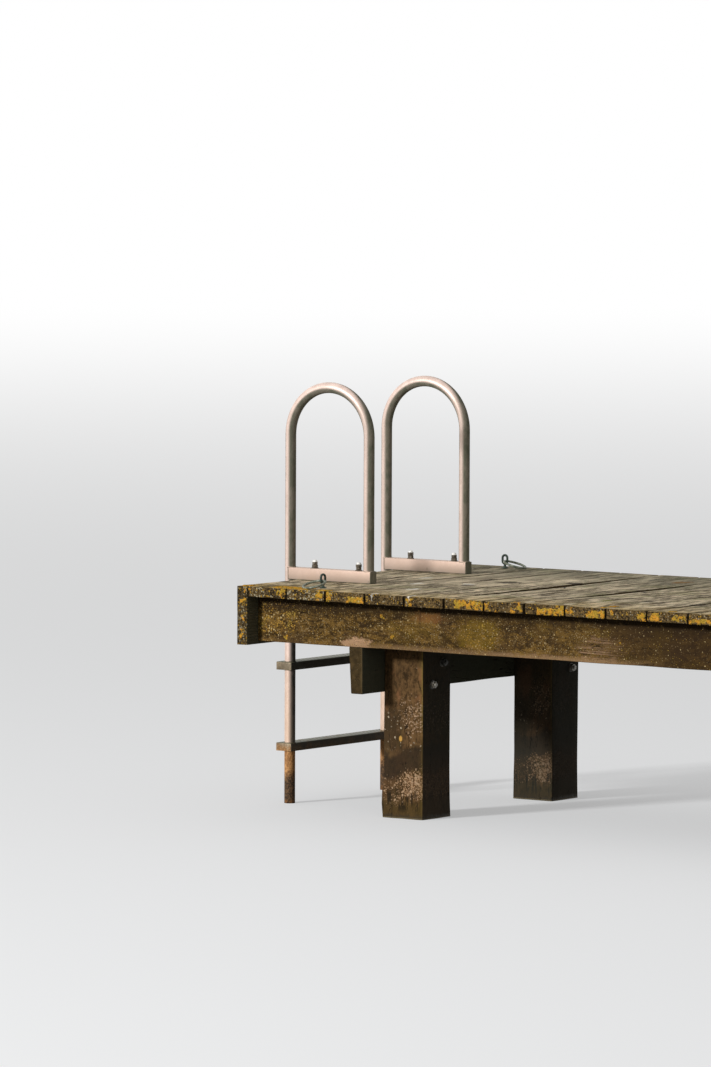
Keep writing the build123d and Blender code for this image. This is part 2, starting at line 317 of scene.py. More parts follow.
def pile_finish():
    pile = Finish("pile_wood")
    z = pile.z
    grain = Grain(pile, 2, short=3.0)
    mottle = pile.cloud((60, 60, 45), (1, 3, 0), 6.0, 0.72)
    tone = grain.blotches * 0.25 + mottle * 0.45 + grain.streaks * 0.15 + grain.fibres * 0.15
    ragged = z + (grain.blotches - 0.5) * 0.1
    bay = ((pile.x - first_pile.x) / bay_length + 0.5).floor()
    across = pile.x - bay * bay_length
    right = across.step(first_pile.x - 0.045, first_pile.x + 0.035)
    left = 1 - right
    moss = pile.patches((9, 9, 5), (5, 2, 1), 0.5, 0.62)
    red = pile.patches((11, 11, 6), (9, 1, 4), 0.52, 0.64)
    dull = 0.42 + z.band(0.32, 0.085, 0.045) * 0.36 - z.step(0.36, 0.42) * 0.27
    sloped = ragged + left * 0.03
    low_cover = sloped.band(0.125, 0.085, 0.03) * (0.52 + right * 0.48)
    crust = pile.flecks(0.0032, low_cover * 1.02, (2, 0, 5))
    clumps = pile.flecks(0.007, low_cover * 0.74, (7, 2, 5))
    high_cover = ragged.band(0.38, 0.1, 0.03) * (0.2 + right * 0.8)
    high_crust = pile.flecks(0.0042, high_cover * 0.8, (6, 0, 1))
    dotted = z.step(0.24, 0.28) * z.step(0.4, 0.36)
    pale = pile.flecks(0.0086, 0.34 - right * 0.06, (1, 5, 2)) * dotted
    ochre = pile.specks(0.07, 0.17, 0.24, (3, 8, 1)) * dotted
    spot = pile.blot((-2.182, -0.5, 0.29), (0.0085, 0.03, 0.0125), (mottle - 0.5) * 1.2)
    foot = ragged.step(0.075, 0.045)
    reeds = pile.cloud((75, 75, 14), (4, 4, 4), 3.0, 0.6).step(0.54, 0.58)
    arris = (pile.face_x - pile.face_y).step(1.1, 1.34)
    # Landward faces: painted nearly black, as painted shade.
    lee = pile.face_x.step(0.75, 0.95)
    painted_shade_side_colour = pile.mix(ragged.step(0.3, 0.14), (0.042, 0.041, 0.031), (0.078, 0.06, 0.042))
    wet = (z + (mottle - 0.5) * 0.03).step(0.022, 0.004)
    wood = pile.mix(tone.step(0.4, 0.6), (0.034, 0.019, 0.007), (0.19, 0.104, 0.041))
    colour = pile.layered(wood, [
        (moss * 0.45, (0.07, 0.05, 0.012)),
        (red * (0.3 + z.step(0.34, 0.4) * 0.45), (0.25, 0.115, 0.048)),
        (left * dull, (0.04, 0.026, 0.012)),
        (sloped.band(0.22, 0.062, 0.028) * 0.75, (0.024, 0.016, 0.01)),
        (crust * (0.3 + mottle * 0.9), (0.54, 0.33, 0.18)),
        (clumps * 0.8, (0.6, 0.4, 0.24)),
        (high_crust * (0.2 + mottle), (0.52, 0.34, 0.205)),
        (pale * 0.9, (0.5, 0.395, 0.265)),
        (ochre * 0.9, (0.6, 0.29, 0.05)),
        (spot * 0.95, (0.62, 0.34, 0.075)),
        (foot * (0.5 + right * 0.25), (0.068, 0.043, 0.012)),
        (reeds * z.band(0.065, 0.055, 0.02) * 0.8, (0.012, 0.009, 0.004)),
        (arris * (0.25 + ragged.step(0.28, 0.42) * 0.6), (0.28, 0.19, 0.05)),
        (lee * 0.82, painted_shade_side_colour),
        (grain.cracks * 0.8, (0.01, 0.008, 0.005)),
        # Far piles, on the y > 0 side, painted darker: a painted shadow of the deck.
        (pile.y.step(-0.1, 0.1) * 0.58, (0.032, 0.033, 0.026)),
        (wet * 0.6, (0.018, 0.013, 0.006)),
        # A thin pale line at the waterline: a painted reflection.
        (z.band(0.003, 0.003, 0.001) * 0.5, (0.22, 0.18, 0.1)),
    ])
    relief = grain.height + mottle * 0.5 + (crust + high_crust + clumps + pale) * 0.4
    return pile.surface(colour, 0.92 - wet * 0.5, relief, 0.005)


ring_across = 0.04
ridges, ridge_stretch, bows = 48, 0.12, 5
pile_arris = 0.007
pile_wear = 0.0024
growth_top, growth_lumps, least_growth = 0.17, 24, 0.25
growth = {"near": 0.02, "far": 0.006}
first_pile = sum((Vector(corner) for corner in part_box("near_pile_1")), Vector()) / 2
bay_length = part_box("near_pile_2")[0].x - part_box("near_pile_1")[0].x
pile_wood = pile_finish()
bent_numbers = (1, 2, 3)
for number in bent_numbers:
    for side in ("near", "far"):
        name = f"{side}_pile_{number}"
        low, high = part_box(name)
        bm = bmesh.new()
        add_timber(bm, low, high, 2, pile_arris, pile_wear, ends=False)
        axis = (low + high) / 2
        for vert in bm.verts:
            out = Vector((vert.co.x - axis.x, vert.co.y - axis.y, 0.0)).normalized()
            lumps = 0.6 + noise.noise(vert.co * growth_lumps)
            thick = growth[side] * max(0.0, 1 - vert.co.z / growth_top) * lumps
            vert.co += out * thick * (least_growth + (1 - least_growth) * max(0.0, -out.x))
        finished(bm, f"{side}_post_{number}", pile_wood, [name])

# Crossbeams: one plank on edge across each pair of piles, on their lake side. They carry
# the beams. Their faces are in the deck's shade all day, dark and greenish, and their ends
# are worn back towards the foot.


def crossbeam_finish():
    wood = Finish("crossbeam_wood")
    grain = Grain(wood, 1, (3, 0, 9), 2.0)
    mottle = wood.cloud((60, 60, 45), (2, 3, 1), 6.0, 0.7)
    tone = (grain.blotches * 0.4 + mottle * 0.35 + grain.streaks * 0.25).step(0.4, 0.6)
    pale = wood.flecks(0.003, 0.3)
    sawn = wood.mix(tone, (0.034, 0.022, 0.008), (0.078, 0.049, 0.018))
    colour = wood.layered(wood.mix(tone, (0.02, 0.015, 0.008), (0.085, 0.057, 0.026)), [
        (wood.patches((8, 8, 8), (1, 4, 2), 0.48, 0.62) * 0.4, (0.05, 0.044, 0.014)),
        (abs(wood.face_y).step(0.6, 0.8), sawn),
        (pale * 0.5, (0.22, 0.17, 0.1)),
        ((wood.face_x - wood.face_y).step(1.1, 1.34) * 0.6, (0.18, 0.13, 0.06)),
        (wood.face_x.step(0.75, 0.95) * 0.8, (0.078, 0.082, 0.054)),
        (grain.cracks * 0.8, (0.008, 0.006, 0.004)),
    ])
    return wood.surface(colour, 0.9, grain.height + mottle * 0.5 + pale * 0.3, 0.003)


crossbeam_arris = 0.004
crossbeam_wear = 0.0014
worn_length, worn_depth = 0.12, 0.009
crossbeam_wood = crossbeam_finish()
for number in bent_numbers:
    name = f"crossbeam_{number}"
    low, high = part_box(name)
    bm = bmesh.new()
    add_timber(bm, low, high, 1, crossbeam_arris, crossbeam_wear)
    for vert in bm.verts:
        near_end = max(0.0, 1 - min(vert.co.y - low.y, high.y - vert.co.y) / worn_length)
        underneath = (high.z - vert.co.z) / (high.z - low.z)
        lakeward = (high.x - vert.co.x) / (high.x - low.x)
        vert.co.x += worn_depth * near_end * underneath * lakeward
    finished(bm, f"cross_plank_{number}", crossbeam_wood, [name])

# Crossbeam bolts: two M16 bolts through each pile, heads on the lake side, nuts on the land
# side, over large round washers. They are plain stainless, dulled, with rust-coloured
# streaks where bolt and wet wood meet.


def steel_finish(name, bright, dull, metallic, stain, above=10.0, high_up=(0, 0, 0)):
    """Dull to bright steel with stains, of another colour from a height on."""
    steel = Finish(name)
    mottle = steel.cloud((90, 90, 90), detail=4.0, roughness=0.65)
    stained = steel.patches((40, 40, 40), (4, 1, 7), 0.45, 0.62, 0.7)
    colour = steel.layered(steel.mix(mottle.step(0.35, 0.65), dull, bright), [
        (stained * stain, (0.09, 0.06, 0.028)),
        (steel.z.step(above - 0.002, above), high_up),
    ])
    return steel.surface(colour, 0.45 + stained * 0.3, mottle, 0.0006, metallic, 0.4)


def only(kind, items):
    return [item for item in items if isinstance(item, kind)]


def add_turned(bm, sides, profile, place):
    """Adds a round or many-sided piece from its foot up: profile is radius and height."""
    radius, height = profile[0]
    lift = Matrix.Translation((0, 0, height))
    ring = bmesh.ops.create_circle(bm, cap_ends=True, segments=sides, radius=radius, matrix=lift)
    verts = list(ring["verts"])
    cap = verts[0].link_faces[0]
    for wider, higher in profile[1:]:
        grown = bmesh.ops.extrude_face_region(bm, geom=[cap])["geom"]
        new = only(BMVert, grown)
        cap = only(BMFace, grown)[0]
        factor = wider / radius
        bmesh.ops.scale(bm, vec=(factor, factor, 1), verts=new)
        bmesh.ops.translate(bm, vec=(0, 0, higher - height), verts=new)
        radius, height = wider, higher
        verts += new
    bmesh.ops.transform(bm, matrix=place, verts=verts)


def hexagon(across_flats, height, corner=0.0012):
    """The profile of a nut or bolt head about its axis, its corners turned off at both ends."""
    radius = across_flats / math.sqrt(3)
    sides = [(radius, corner * 0.6), (radius, height - corner * 0.6)]
    return [(radius - corner, 0.0), *sides, (radius - corner, height)]


def washer(diameter, thickness):
    radius = diameter / 2
    return [(radius, 0.0), (radius, thickness - 0.0005), (radius - 0.0008, thickness)]


bolt_head, bolt_head_height, bolt_nut_height = 0.024, 0.01, 0.013
bolt_radius, bolt_stub, bolt_point = 0.008, 0.006, 0.001
bolt_washer, bolt_washer_thickness = 0.034, 0.003
bolt_side, bolt_low, bolt_high = 0.055, 0.033, 0.06
# From this height up the bolts are painted near-black: painted shade under the deck.
painted_shade_above = 0.54
bolt_steel = steel_finish(
    "bolt_steel", (0.55, 0.53, 0.48), (0.16, 0.15, 0.12), 0.3, 0.6, painted_shade_above,
    (0.035, 0.033, 0.027),
)
washer_steel = steel_finish("washer_steel", (0.05, 0.045, 0.032), (0.022, 0.019, 0.013), 0.1, 0.6)
towards_land = Matrix.Rotation(math.radians(90), 4, "Y")
towards_lake = Matrix.Rotation(math.radians(-90), 4, "Y")
turn = random.Random(11)
for number in bent_numbers:
    pile_low, pile_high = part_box(f"far_pile_{number}")
    plank_low, plank_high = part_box(f"crossbeam_{number}")
    places = [
        (pile_high.y - bolt_side, plank_low.z + bolt_low),
        (pile_low.y + bolt_side, plank_high.z - bolt_high),
    ]
    bm = bmesh.new()
    discs = bmesh.new()
    raised = Matrix.Translation((0, 0, bolt_washer_thickness))
    end = bolt_washer_thickness + bolt_nut_height + bolt_stub
    stub = [(bolt_radius, 0.0), (bolt_radius, end - bolt_point), (bolt_radius - bolt_point, end)]
    for y, z in places + [(-y, z) for y, z in places]:
        spin = Matrix.Rotation(turn.uniform(0.0, 1.0), 4, "Z")
        head = Matrix.Translation((plank_low.x, y, z)) @ towards_lake
        nut = Matrix.Translation((pile_high.x, y, z)) @ towards_land
        for face, height in ((head, bolt_head_height), (nut, bolt_nut_height)):
            add_turned(discs, 28, washer(bolt_washer, bolt_washer_thickness), face)
            add_turned(bm, 6, hexagon(bolt_head, height), face @ raised @ spin)
        add_turned(bm, 18, stub, nut)
    name = f"crossbeam_bolts_{number}"
    finished(bm, f"plank_bolts_{number}", bolt_steel, [name])
    finished(discs, f"plank_washers_{number}", washer_steel)

# Beams: three lines of planks on edge along the jetty, on the crossbeams, butted over the
# middle one. Rain from the board ends has streaked the outer faces brown and olive; crusts
# of pale and yellow lichen dot them, and the lower arris is rubbed paler.


def beam_finish():
    wood = Finish("beam_wood")
    x, z = wood.x, wood.z
    grain = Grain(wood, 0, (2, 5, 0), 3.0)
    mottle = wood.cloud((48, 48, 75), (6, 1, 2), 6.0, 0.74)
    grit = wood.cloud((240, 240, 280), (1, 7, 2), 2.0, 0.6)
    tone = mottle * 0.4 + grain.streaks * 0.22 + grit * 0.2 + grain.blotches * 0.18
    wavy_z = z + (mottle - 0.5) * 0.05

    def stain(x, z, length, height, torn=2.2):
        return wood.blot((x, beam_face, z), (length, 0.05, height), (mottle - 0.5) * torn)

    golden = wood.patches((5, 5, 8), (7, 2, 3), 0.48, 0.62)
    umber = wood.patches((6, 6, 9), (1, 8, 5), 0.5, 0.63)
    gold = stain(-1.745, 0.7, 0.105, 0.065)
    red = stain(-1.96, 0.752, 0.09, 0.024)
    pink = stain(-2.285, 0.64, 0.07, 0.026)
    lines = wood.cloud((9, 9, 210), (2, 2, 6), 5.0, 0.7).step(0.42, 0.62)
    streaked = stain(-1.215, 0.675, 0.12, 0.05) * lines
    drips = wood.patches((22, 22, 2.2), (3, 3, 3), 0.5, 0.64)
    inland = (x + (mottle - 0.5) * 0.5).step(-1.34, -0.95)
    brown = z.band(0.705, 0.055, 0.02) * x.step(-2.1, -1.7)
    rubbed = wavy_z.step(0.65, 0.634) * x.step(-0.9, -1.25)
    rubbed = rubbed * (0.06 + x.step(-2.42, -2.22) * 0.42 + x.step(-1.8, -1.5) * 0.37)
    left = x.step(-2.2, -2.5)
    # A dark band along the top of the face, under the board ends: grime, and a painted shadow of
    # the deck's overhang.
    grime_and_painted_shadow = (wavy_z + left * 0.012).step(0.728, 0.778)
    clear = 1 - grime_and_painted_shadow * 0.6
    dense = stain(-2.665, 0.715, 0.16, 0.075, 1.6)
    cover = dense * 0.36 + left * 0.12 + golden * 0.15 + gold * 0.24 - inland * 0.06 + 0.18
    ochre = wood.flecks(0.0042, cover, (9, 1, 4)) * clear
    orange = wood.mix(golden.step(0.6, 0.2), (0.44, 0.28, 0.05), (0.52, 0.29, 0.05))
    ashen = wood.flecks(0.003, 0.42 - inland * 0.2 + (mottle - 0.5) * 1.6, (3, 5, 2))
    coarse = wood.flecks(0.0062, 0.2 + dense * 0.15 - inland * 0.05, (3, 3, 3)) * clear
    base = wood.mix(tone.step(0.44, 0.57), (0.032, 0.017, 0.004), (0.225, 0.126, 0.03))
    colour = wood.layered(base, [
        (golden * 0.45, (0.17, 0.1, 0.015)),
        (umber * 0.5, (0.062, 0.034, 0.014)),
        (gold * 0.55, (0.23, 0.14, 0.014)),
        (red * 0.6, (0.27, 0.115, 0.034)),
        (pink * (0.35 + grit * 0.9), (0.58, 0.35, 0.2)),
        (streaked, (0.34, 0.205, 0.115)),
        (drips * z.step(0.66, 0.76) * 0.55, (0.036, 0.02, 0.008)),
        (inland * 0.68, (0.031, 0.016, 0.007)),
        (brown * 0.22, (0.04, 0.022, 0.008)),
        (rubbed, (0.34, 0.205, 0.1)),
        (grime_and_painted_shadow * (0.85 - red * 0.5), (0.02, 0.011, 0.004)),
        (grit.step(0.46, 0.36) * 0.45, (0.026, 0.014, 0.005)),
        (ochre * 0.85, orange),
        (ashen * clear * 0.75, (0.42, 0.31, 0.16)),
        (coarse * 0.9, (0.66, 0.5, 0.24)),
        # Undersides darker: painted shade.
        (wood.face_z.step(-0.5, -0.9) * 0.5, (0.02, 0.014, 0.008)),
        (grain.cracks * 0.7, (0.014, 0.008, 0.003)),
    ])
    relief = grain.height + mottle * 0.5 + (ochre + ashen + coarse) * 0.3
    return wood.surface(colour, 0.88, relief, 0.0035)


beam_arris = 0.004
beam_wear = 0.0016
beam_ring = 0.06
beam_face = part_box("near_beam_1")[0].y
beam_wood = beam_finish()
for side in ("near", "middle", "far"):
    for number in (1, 2):
        name = f"{side}_beam_{number}"
        low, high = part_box(name)
        bm = bmesh.new()
        add_timber(bm, low, high, 0, beam_arris, beam_wear, beam_ring)
        finished(bm, f"{side}_joist_{number}", beam_wood, [name])

# End fascia: a decking board on edge, nailed across the beam ends with its grooved face
# inwards. The grooves show past the outer beam. Its sawn ends are thick with lichen.


def board_finish(name, one_grain):
    """Mixes weathered boards' colour and relief. Each board has its own grain, or all share one."""
    wood = Finish(name)
    x, y = wood.x, wood.y
    board = ((x - boards_low.x) / board_pitch).floor()
    shift = wood.node("CombineXYZ", inputs={0: board * 3.7, 1: board * 5.3, 2: board * 1.9})
    chance = wood.node("TexWhiteNoise", {"noise_dimensions": "1D"}, {"W": board})
    grain = Grain(wood, 1, (0, 0, 0) if one_grain else shift, 2.0)
    broad = wood.cloud((9, 6, 7), (1, 1, 2), 6.0, 0.72)
    mottle = wood.cloud((115, 115, 150), detail=5.0, roughness=0.72)
    patches = wood.cloud((34, 6, 34), shift, 6.0, 0.82)
    patchy = patches.step(0.42, 0.58)
    wavy = (broad - 0.5) * 0.5
    tone = broad * 0.22 + patches * 0.44 + grain.streaks * 0.2 + grain.fibres * 0.14
    bare = wood.mix(tone.step(0.455, 0.55), (0.088, 0.064, 0.033), (0.9, 0.745, 0.505))
    between = wood.blot((-2.2, 0.12, deck_top), (0.38, 0.36, 0.1), (broad - 0.5) * 2)
    corner = wood.blot((-2.7, -0.7, deck_top), (0.34, 0.22, 0.1), (broad - 0.5) * 3)
    ochred = wood.mix(patchy, (0.13, 0.085, 0.028), (0.82, 0.6, 0.29))
    stain = wood.mix(patchy, (0.055, 0.04, 0.012), (0.44, 0.28, 0.07))
    worn = wood.layered(bare, [
        ((chance - 0.3) * 0.4, (0.2, 0.165, 0.11)),
        (grain.blotches.step(0.53, 0.66) * 0.5, (0.125, 0.105, 0.06)),
        (wood.patches((5, 7, 5), (3, 1, 6), 0.5, 0.66, 0.65) * 0.4, (0.3, 0.29, 0.13)),
        ((y + wavy).step(-0.4, -0.66) * 0.5, ochred),
        (between * 0.35, (0.8, 0.66, 0.46)),
        (corner * 0.75, stain),
        ((y + wavy).step(0.0, 0.55) * 0.52, (0.19, 0.18, 0.12)),
        ((x + y * 0.7 + wavy).step(-1.35, -0.75) * 0.4, (0.16, 0.135, 0.075)),
    ])
    under = wood.mix(grain.streaks.step(0.3, 0.7), (0.02, 0.014, 0.007), (0.075, 0.05, 0.022))
    lakeward = x.step(-2.34, -2.41)
    pale = wood.flecks(0.0048, 0.36 + lakeward * 0.32 + (grain.blotches - 0.5) * 1.8)
    end_tone = (mottle * 0.7 + grain.blotches * 0.3).step(0.43, 0.58)
    sawn = wood.mix(end_tone, (0.022, 0.014, 0.006), (0.185, 0.118, 0.044))
    pale_colour = wood.mix(lakeward, (0.45, 0.37, 0.23), (0.51, 0.44, 0.28))
    end = abs(wood.face_y).step(0.45, 0.75)
    edge = (abs(y) + (mottle - 0.5) * 0.05).step(0.672, 0.7) * wood.face_z.step(0.3, 0.7)
    yellow = wood.flecks(0.0055, 0.42 + lakeward * 0.1, (2, 6, 1)) * (edge + end * 0.9)
    knots = wood.specks(0.17, 0.11, 0.3, (5, 5, 5))
    colour = wood.layered(under, [
        (wood.face_z.step(0.35, 0.8), worn),
        (end, wood.mix(pale * 0.85, sawn, pale_colour)),
        (edge * 0.5, (0.27, 0.19, 0.065)),
        (yellow * 0.85, (0.62, 0.35, 0.04)),
        (knots * 0.75, (0.07, 0.045, 0.022)),
        (grain.cracks * 0.9, (0.024, 0.017, 0.008)),
    ])
    relief = grain.height + patches * 0.6 + mottle * 0.3 + (pale + yellow) * 0.4 - knots * 0.5
    return wood, colour, relief


def fascia_finish():
    wood, colour, relief = board_finish("fascia_wood", True)
    figure = wood.cloud((9, 2.6, 95), (2, 2, 7), 5.0, 0.68)
    runs = wood.cloud((30, 24, 2.5), (1, 4, 2), 5.0, 0.7)
    tone = (figure * 0.5 + runs * 0.35 + relief * 0.15).step(0.46, 0.64)
    damp = (wood.z + (runs - 0.5) * 0.22).step(0.735, 0.645)
    grown = (wood.z + (runs - 0.5) * 0.16).step(0.755, 0.825)
    crusts = wood.flecks(0.0065, 0.26 + grown * 0.34, (8, 1, 3))
    rain_worn = wood.layered(wood.mix(tone, (0.045, 0.029, 0.012), (0.3, 0.215, 0.11)), [
        (damp * 0.65, (0.034, 0.028, 0.013)),
        (crusts * 0.85, (0.52, 0.34, 0.075)),
    ])
    sawn = abs(wood.face_y).step(0.5, 0.8)
    blackened = (0.024, 0.016, 0.006)
    colour = wood.layered(colour, [
        (wood.face_x.step(0.3, 0.7) * 0.8, (0.115, 0.11, 0.066)),
        (sawn * relief.step(0.75, 0.45) * 0.85, blackened),
        (sawn * 0.4, blackened),
        (wood.face_x.step(-0.4, -0.8) * 0.92, rain_worn),
    ])
    return wood.surface(colour, 0.9, relief, 0.003)


boards_low, boards_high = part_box("deck_boards_1")
deck_top = boards_high.z
board_width, board_gap = 0.167, 0.008
board_pitch = board_width + board_gap
fascia_low, fascia_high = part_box("end_fascia")
fascia_rows, fascia_steps = 78, 24
first_groove, last_groove, groove_rows = 5, 73, 4
groove_depth = 0.003
fascia_wear = 0.0012
fascia_size = fascia_high - fascia_low
bm = bmesh.new()
upright = Matrix.Rotation(math.radians(90), 4, "X")
bmesh.ops.create_grid(bm, x_segments=1, y_segments=fascia_rows, size=0.5, matrix=upright)
bmesh.ops.scale(bm, vec=(fascia_size.x, 1, fascia_size.z), verts=bm.verts)
middle = (fascia_low + fascia_high) / 2
bmesh.ops.translate(bm, vec=(middle.x, fascia_low.y, middle.z), verts=bm.verts)
for vert in bm.verts:
    row = round((vert.co.z - fascia_low.z) / fascia_size.z * fascia_rows)
    in_groove = first_groove <= row <= last_groove and (row - first_groove) % groove_rows == 0
    if in_groove and vert.co.x > middle.x:
        vert.co.x -= groove_depth
rows = bm.faces[:]
for _ in range(fascia_steps):
    grown = bmesh.ops.extrude_face_region(bm, geom=rows)["geom"]
    rows = only(BMFace, grown)
    along = (0, fascia_size.y / fascia_steps, 0)
    bmesh.ops.translate(bm, vec=along, verts=only(BMVert, grown))
for vert in bm.verts:
    figure = Vector((vert.co.x * 30, vert.co.y * 4, vert.co.z * 9))
    vert.co += noise.noise_vector(figure) * fascia_wear
finished(bm, "fascia_board", fascia_finish(), ["end_fascia"], 50.0)

# Deck boards: thirty-two planks laid across the beams, 8 mm apart, weathered and stained.
# The lake-side edges of a few have dipped, so that the gap before them shows as a dark line,
# and the plank ends are ragged by a few millimetres.

board_arris = 0.003
board_wear = 0.0011
board_ring = 0.05
end_ragged = 0.004
seen_boards = 12
dips = {
    2: (0.0016, 0.29, 0.34),
    4: (0.0016, -0.3, 0.3),
    5: (0.0058, -0.02, 0.62),
    7: (0.005, 0.0, 0.42),
    10: (0.0014, -0.2, 0.6),
}
level_board = (0.0003, 0.0, 0.6)
unseen_dip, unseen_middle, unseen_reach = 0.003, 0.3, 0.7
dark, brown, moss = (0.03, 0.022, 0.012), (0.22, 0.12, 0.04), (0.22, 0.21, 0.055)
bleached, dropping = (0.85, 0.72, 0.5), (0.88, 0.82, 0.7)
deck_marks = [
    (-2.224, 0.094, 0.02, 0.08, dark),
    (-2.09, 0.05, 0.056, 0.05, dark),
    (-2.14, -0.14, 0.034, 0.04, dark),
    (-2.0, -0.326, 0.016, 0.045, dark),
    (-1.876, 0.16, 0.04, 0.045, dark),
    (-1.684, -0.307, 0.014, 0.045, dark),
    (-1.202, -0.35, 0.014, 0.05, dark),
    (-0.983, -0.37, 0.024, 0.045, dark),
    (-1.344, -0.41, 0.026, 0.045, moss),
    (-1.595, 0.45, 0.04, 0.06, brown),
    (-1.955, 0.26, 0.048, 0.055, bleached),
    (-1.185, -0.41, 0.014, 0.045, bleached),
    (-1.521, -0.637, 0.022, 0.035, bleached),
    (-1.36, -0.621, 0.022, 0.035, bleached),
    (-2.189, -0.418, 0.026, 0.05, dropping),
    (-2.324, -0.198, 0.024, 0.045, dropping),
    (-2.455, 0.03, 0.022, 0.04, dropping),
    (-2.165, -0.1, 0.034, 0.022, dropping),
    (-2.172, -0.68, 0.007, 0.034, dropping),
    (-2.01, -0.68, 0.007, 0.034, dropping),
]


def deck_finish():
    wood, colour, relief = board_finish("deck_wood", False)
    ragged = wood.cloud((60, 45, 60), (4, 2, 2), 4.0, 0.7) * 2.4 - 1.2
    colour = wood.layered(colour, [
        (wood.blot((x, y, deck_top), (half_width, half_length, 0.03), ragged) * 0.9, shade)
        for x, y, half_width, half_length, shade in deck_marks
    ])
    return wood.surface(colour, 0.86, relief, 0.005)


deck_wood = deck_finish()
settled = random.Random(5)
end_places = {-1: [], 1: []}
for number in (1, 2):
    name = f"deck_boards_{number}"
    low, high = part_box(name)
    bm = bmesh.new()
    for index in range(round((high.x - low.x + board_gap) / board_pitch)):
        start = low.x + index * board_pitch
        board = round((start - boards_low.x) / board_pitch)
        dip = settled.uniform(0.0, unseen_dip)
        unseen = (dip, settled.uniform(-unseen_middle, unseen_middle), unseen_reach)
        depth, middle, reach = dips.get(board, level_board if board < seen_boards else unseen)
        near_end = low.y + settled.uniform(0.0, end_ragged)
        far_end = high.y - settled.uniform(0.0, end_ragged)
        end_places[-1].append(near_end)
        end_places[1].append(far_end)
        plank = bmesh.new()
        corner = Vector((start, near_end, low.z))
        opposite = Vector((start + board_width, far_end, high.z))
        add_timber(plank, corner, opposite, 1, board_arris, board_wear, board_ring)
        for vert in plank.verts:
            lakeward = 1 - (vert.co.x - start) / board_width
            sag = max(0.0, 1 - ((vert.co.y - middle) / reach) ** 2)
            vert.co.z = min(vert.co.z, deck_top) - depth * lakeward * sag
        pour(plank, bm)
    finished(bm, f"deck_planks_{number}", deck_wood, [name])

# Deck screws: two countersunk screws hold each board to each line of beams. Their heads have
# pulled just under the worn surface.

screw_radius = 0.0045
screw_inset = 0.042
screw_sunk = 0.0012
screw_astray = (0.004, 0.006)
screw_profile = [(screw_radius * 0.6, -0.004), (screw_radius, 0.0), (screw_radius * 0.5, -0.0008)]
beam_boxes = [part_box(f"{side}_beam_1") for side in ("near", "middle", "far")]
beam_lines = [(low.y + high.y) / 2 for low, high in beam_boxes]
screw_steel = steel_finish("screw_steel", (0.12, 0.11, 0.1), (0.05, 0.045, 0.04), 0.5, 0.6)
bm = bmesh.new()
board_count = round((cad_high.x - boards_low.x + board_gap) / board_pitch)
for board in range(board_count):
    start = boards_low.x + board * board_pitch
    for x in (start + screw_inset, start + board_width - screw_inset):
        for y in beam_lines:
            astray = [settled.uniform(-most, most) for most in screw_astray]
            place = Vector((x, y, deck_top - screw_sunk)) + Vector((*astray, 0.0))
            add_turned(bm, 8, screw_profile, Matrix.Translation(place))
finished(bm, "deck_screws", screw_steel)

# Ladder base boxes: two lengths of square stainless tube flat on the deck, coped and welded
# round the stringer at one end, closed by a welded plate at the other. The sunny face is
# a warm, clean satin; the landward end is painted dull and dark, as painted shade.

# Towards the lamp: the steel's painted shade falls on faces turned away from it.
sunward = (-0.375, -0.927, 0.95)
# The side where the steel above the deck gets a painted dark reflection.
dark_reflection_side = (-0.81, -0.587, 0.0)
box_corner = 0.003
box_plate, plate_inset, plate_sunk = 0.003, 0.0016, 0.0005
bead, bead_set, bead_bite = 0.0022, 0.0035, 0.0008


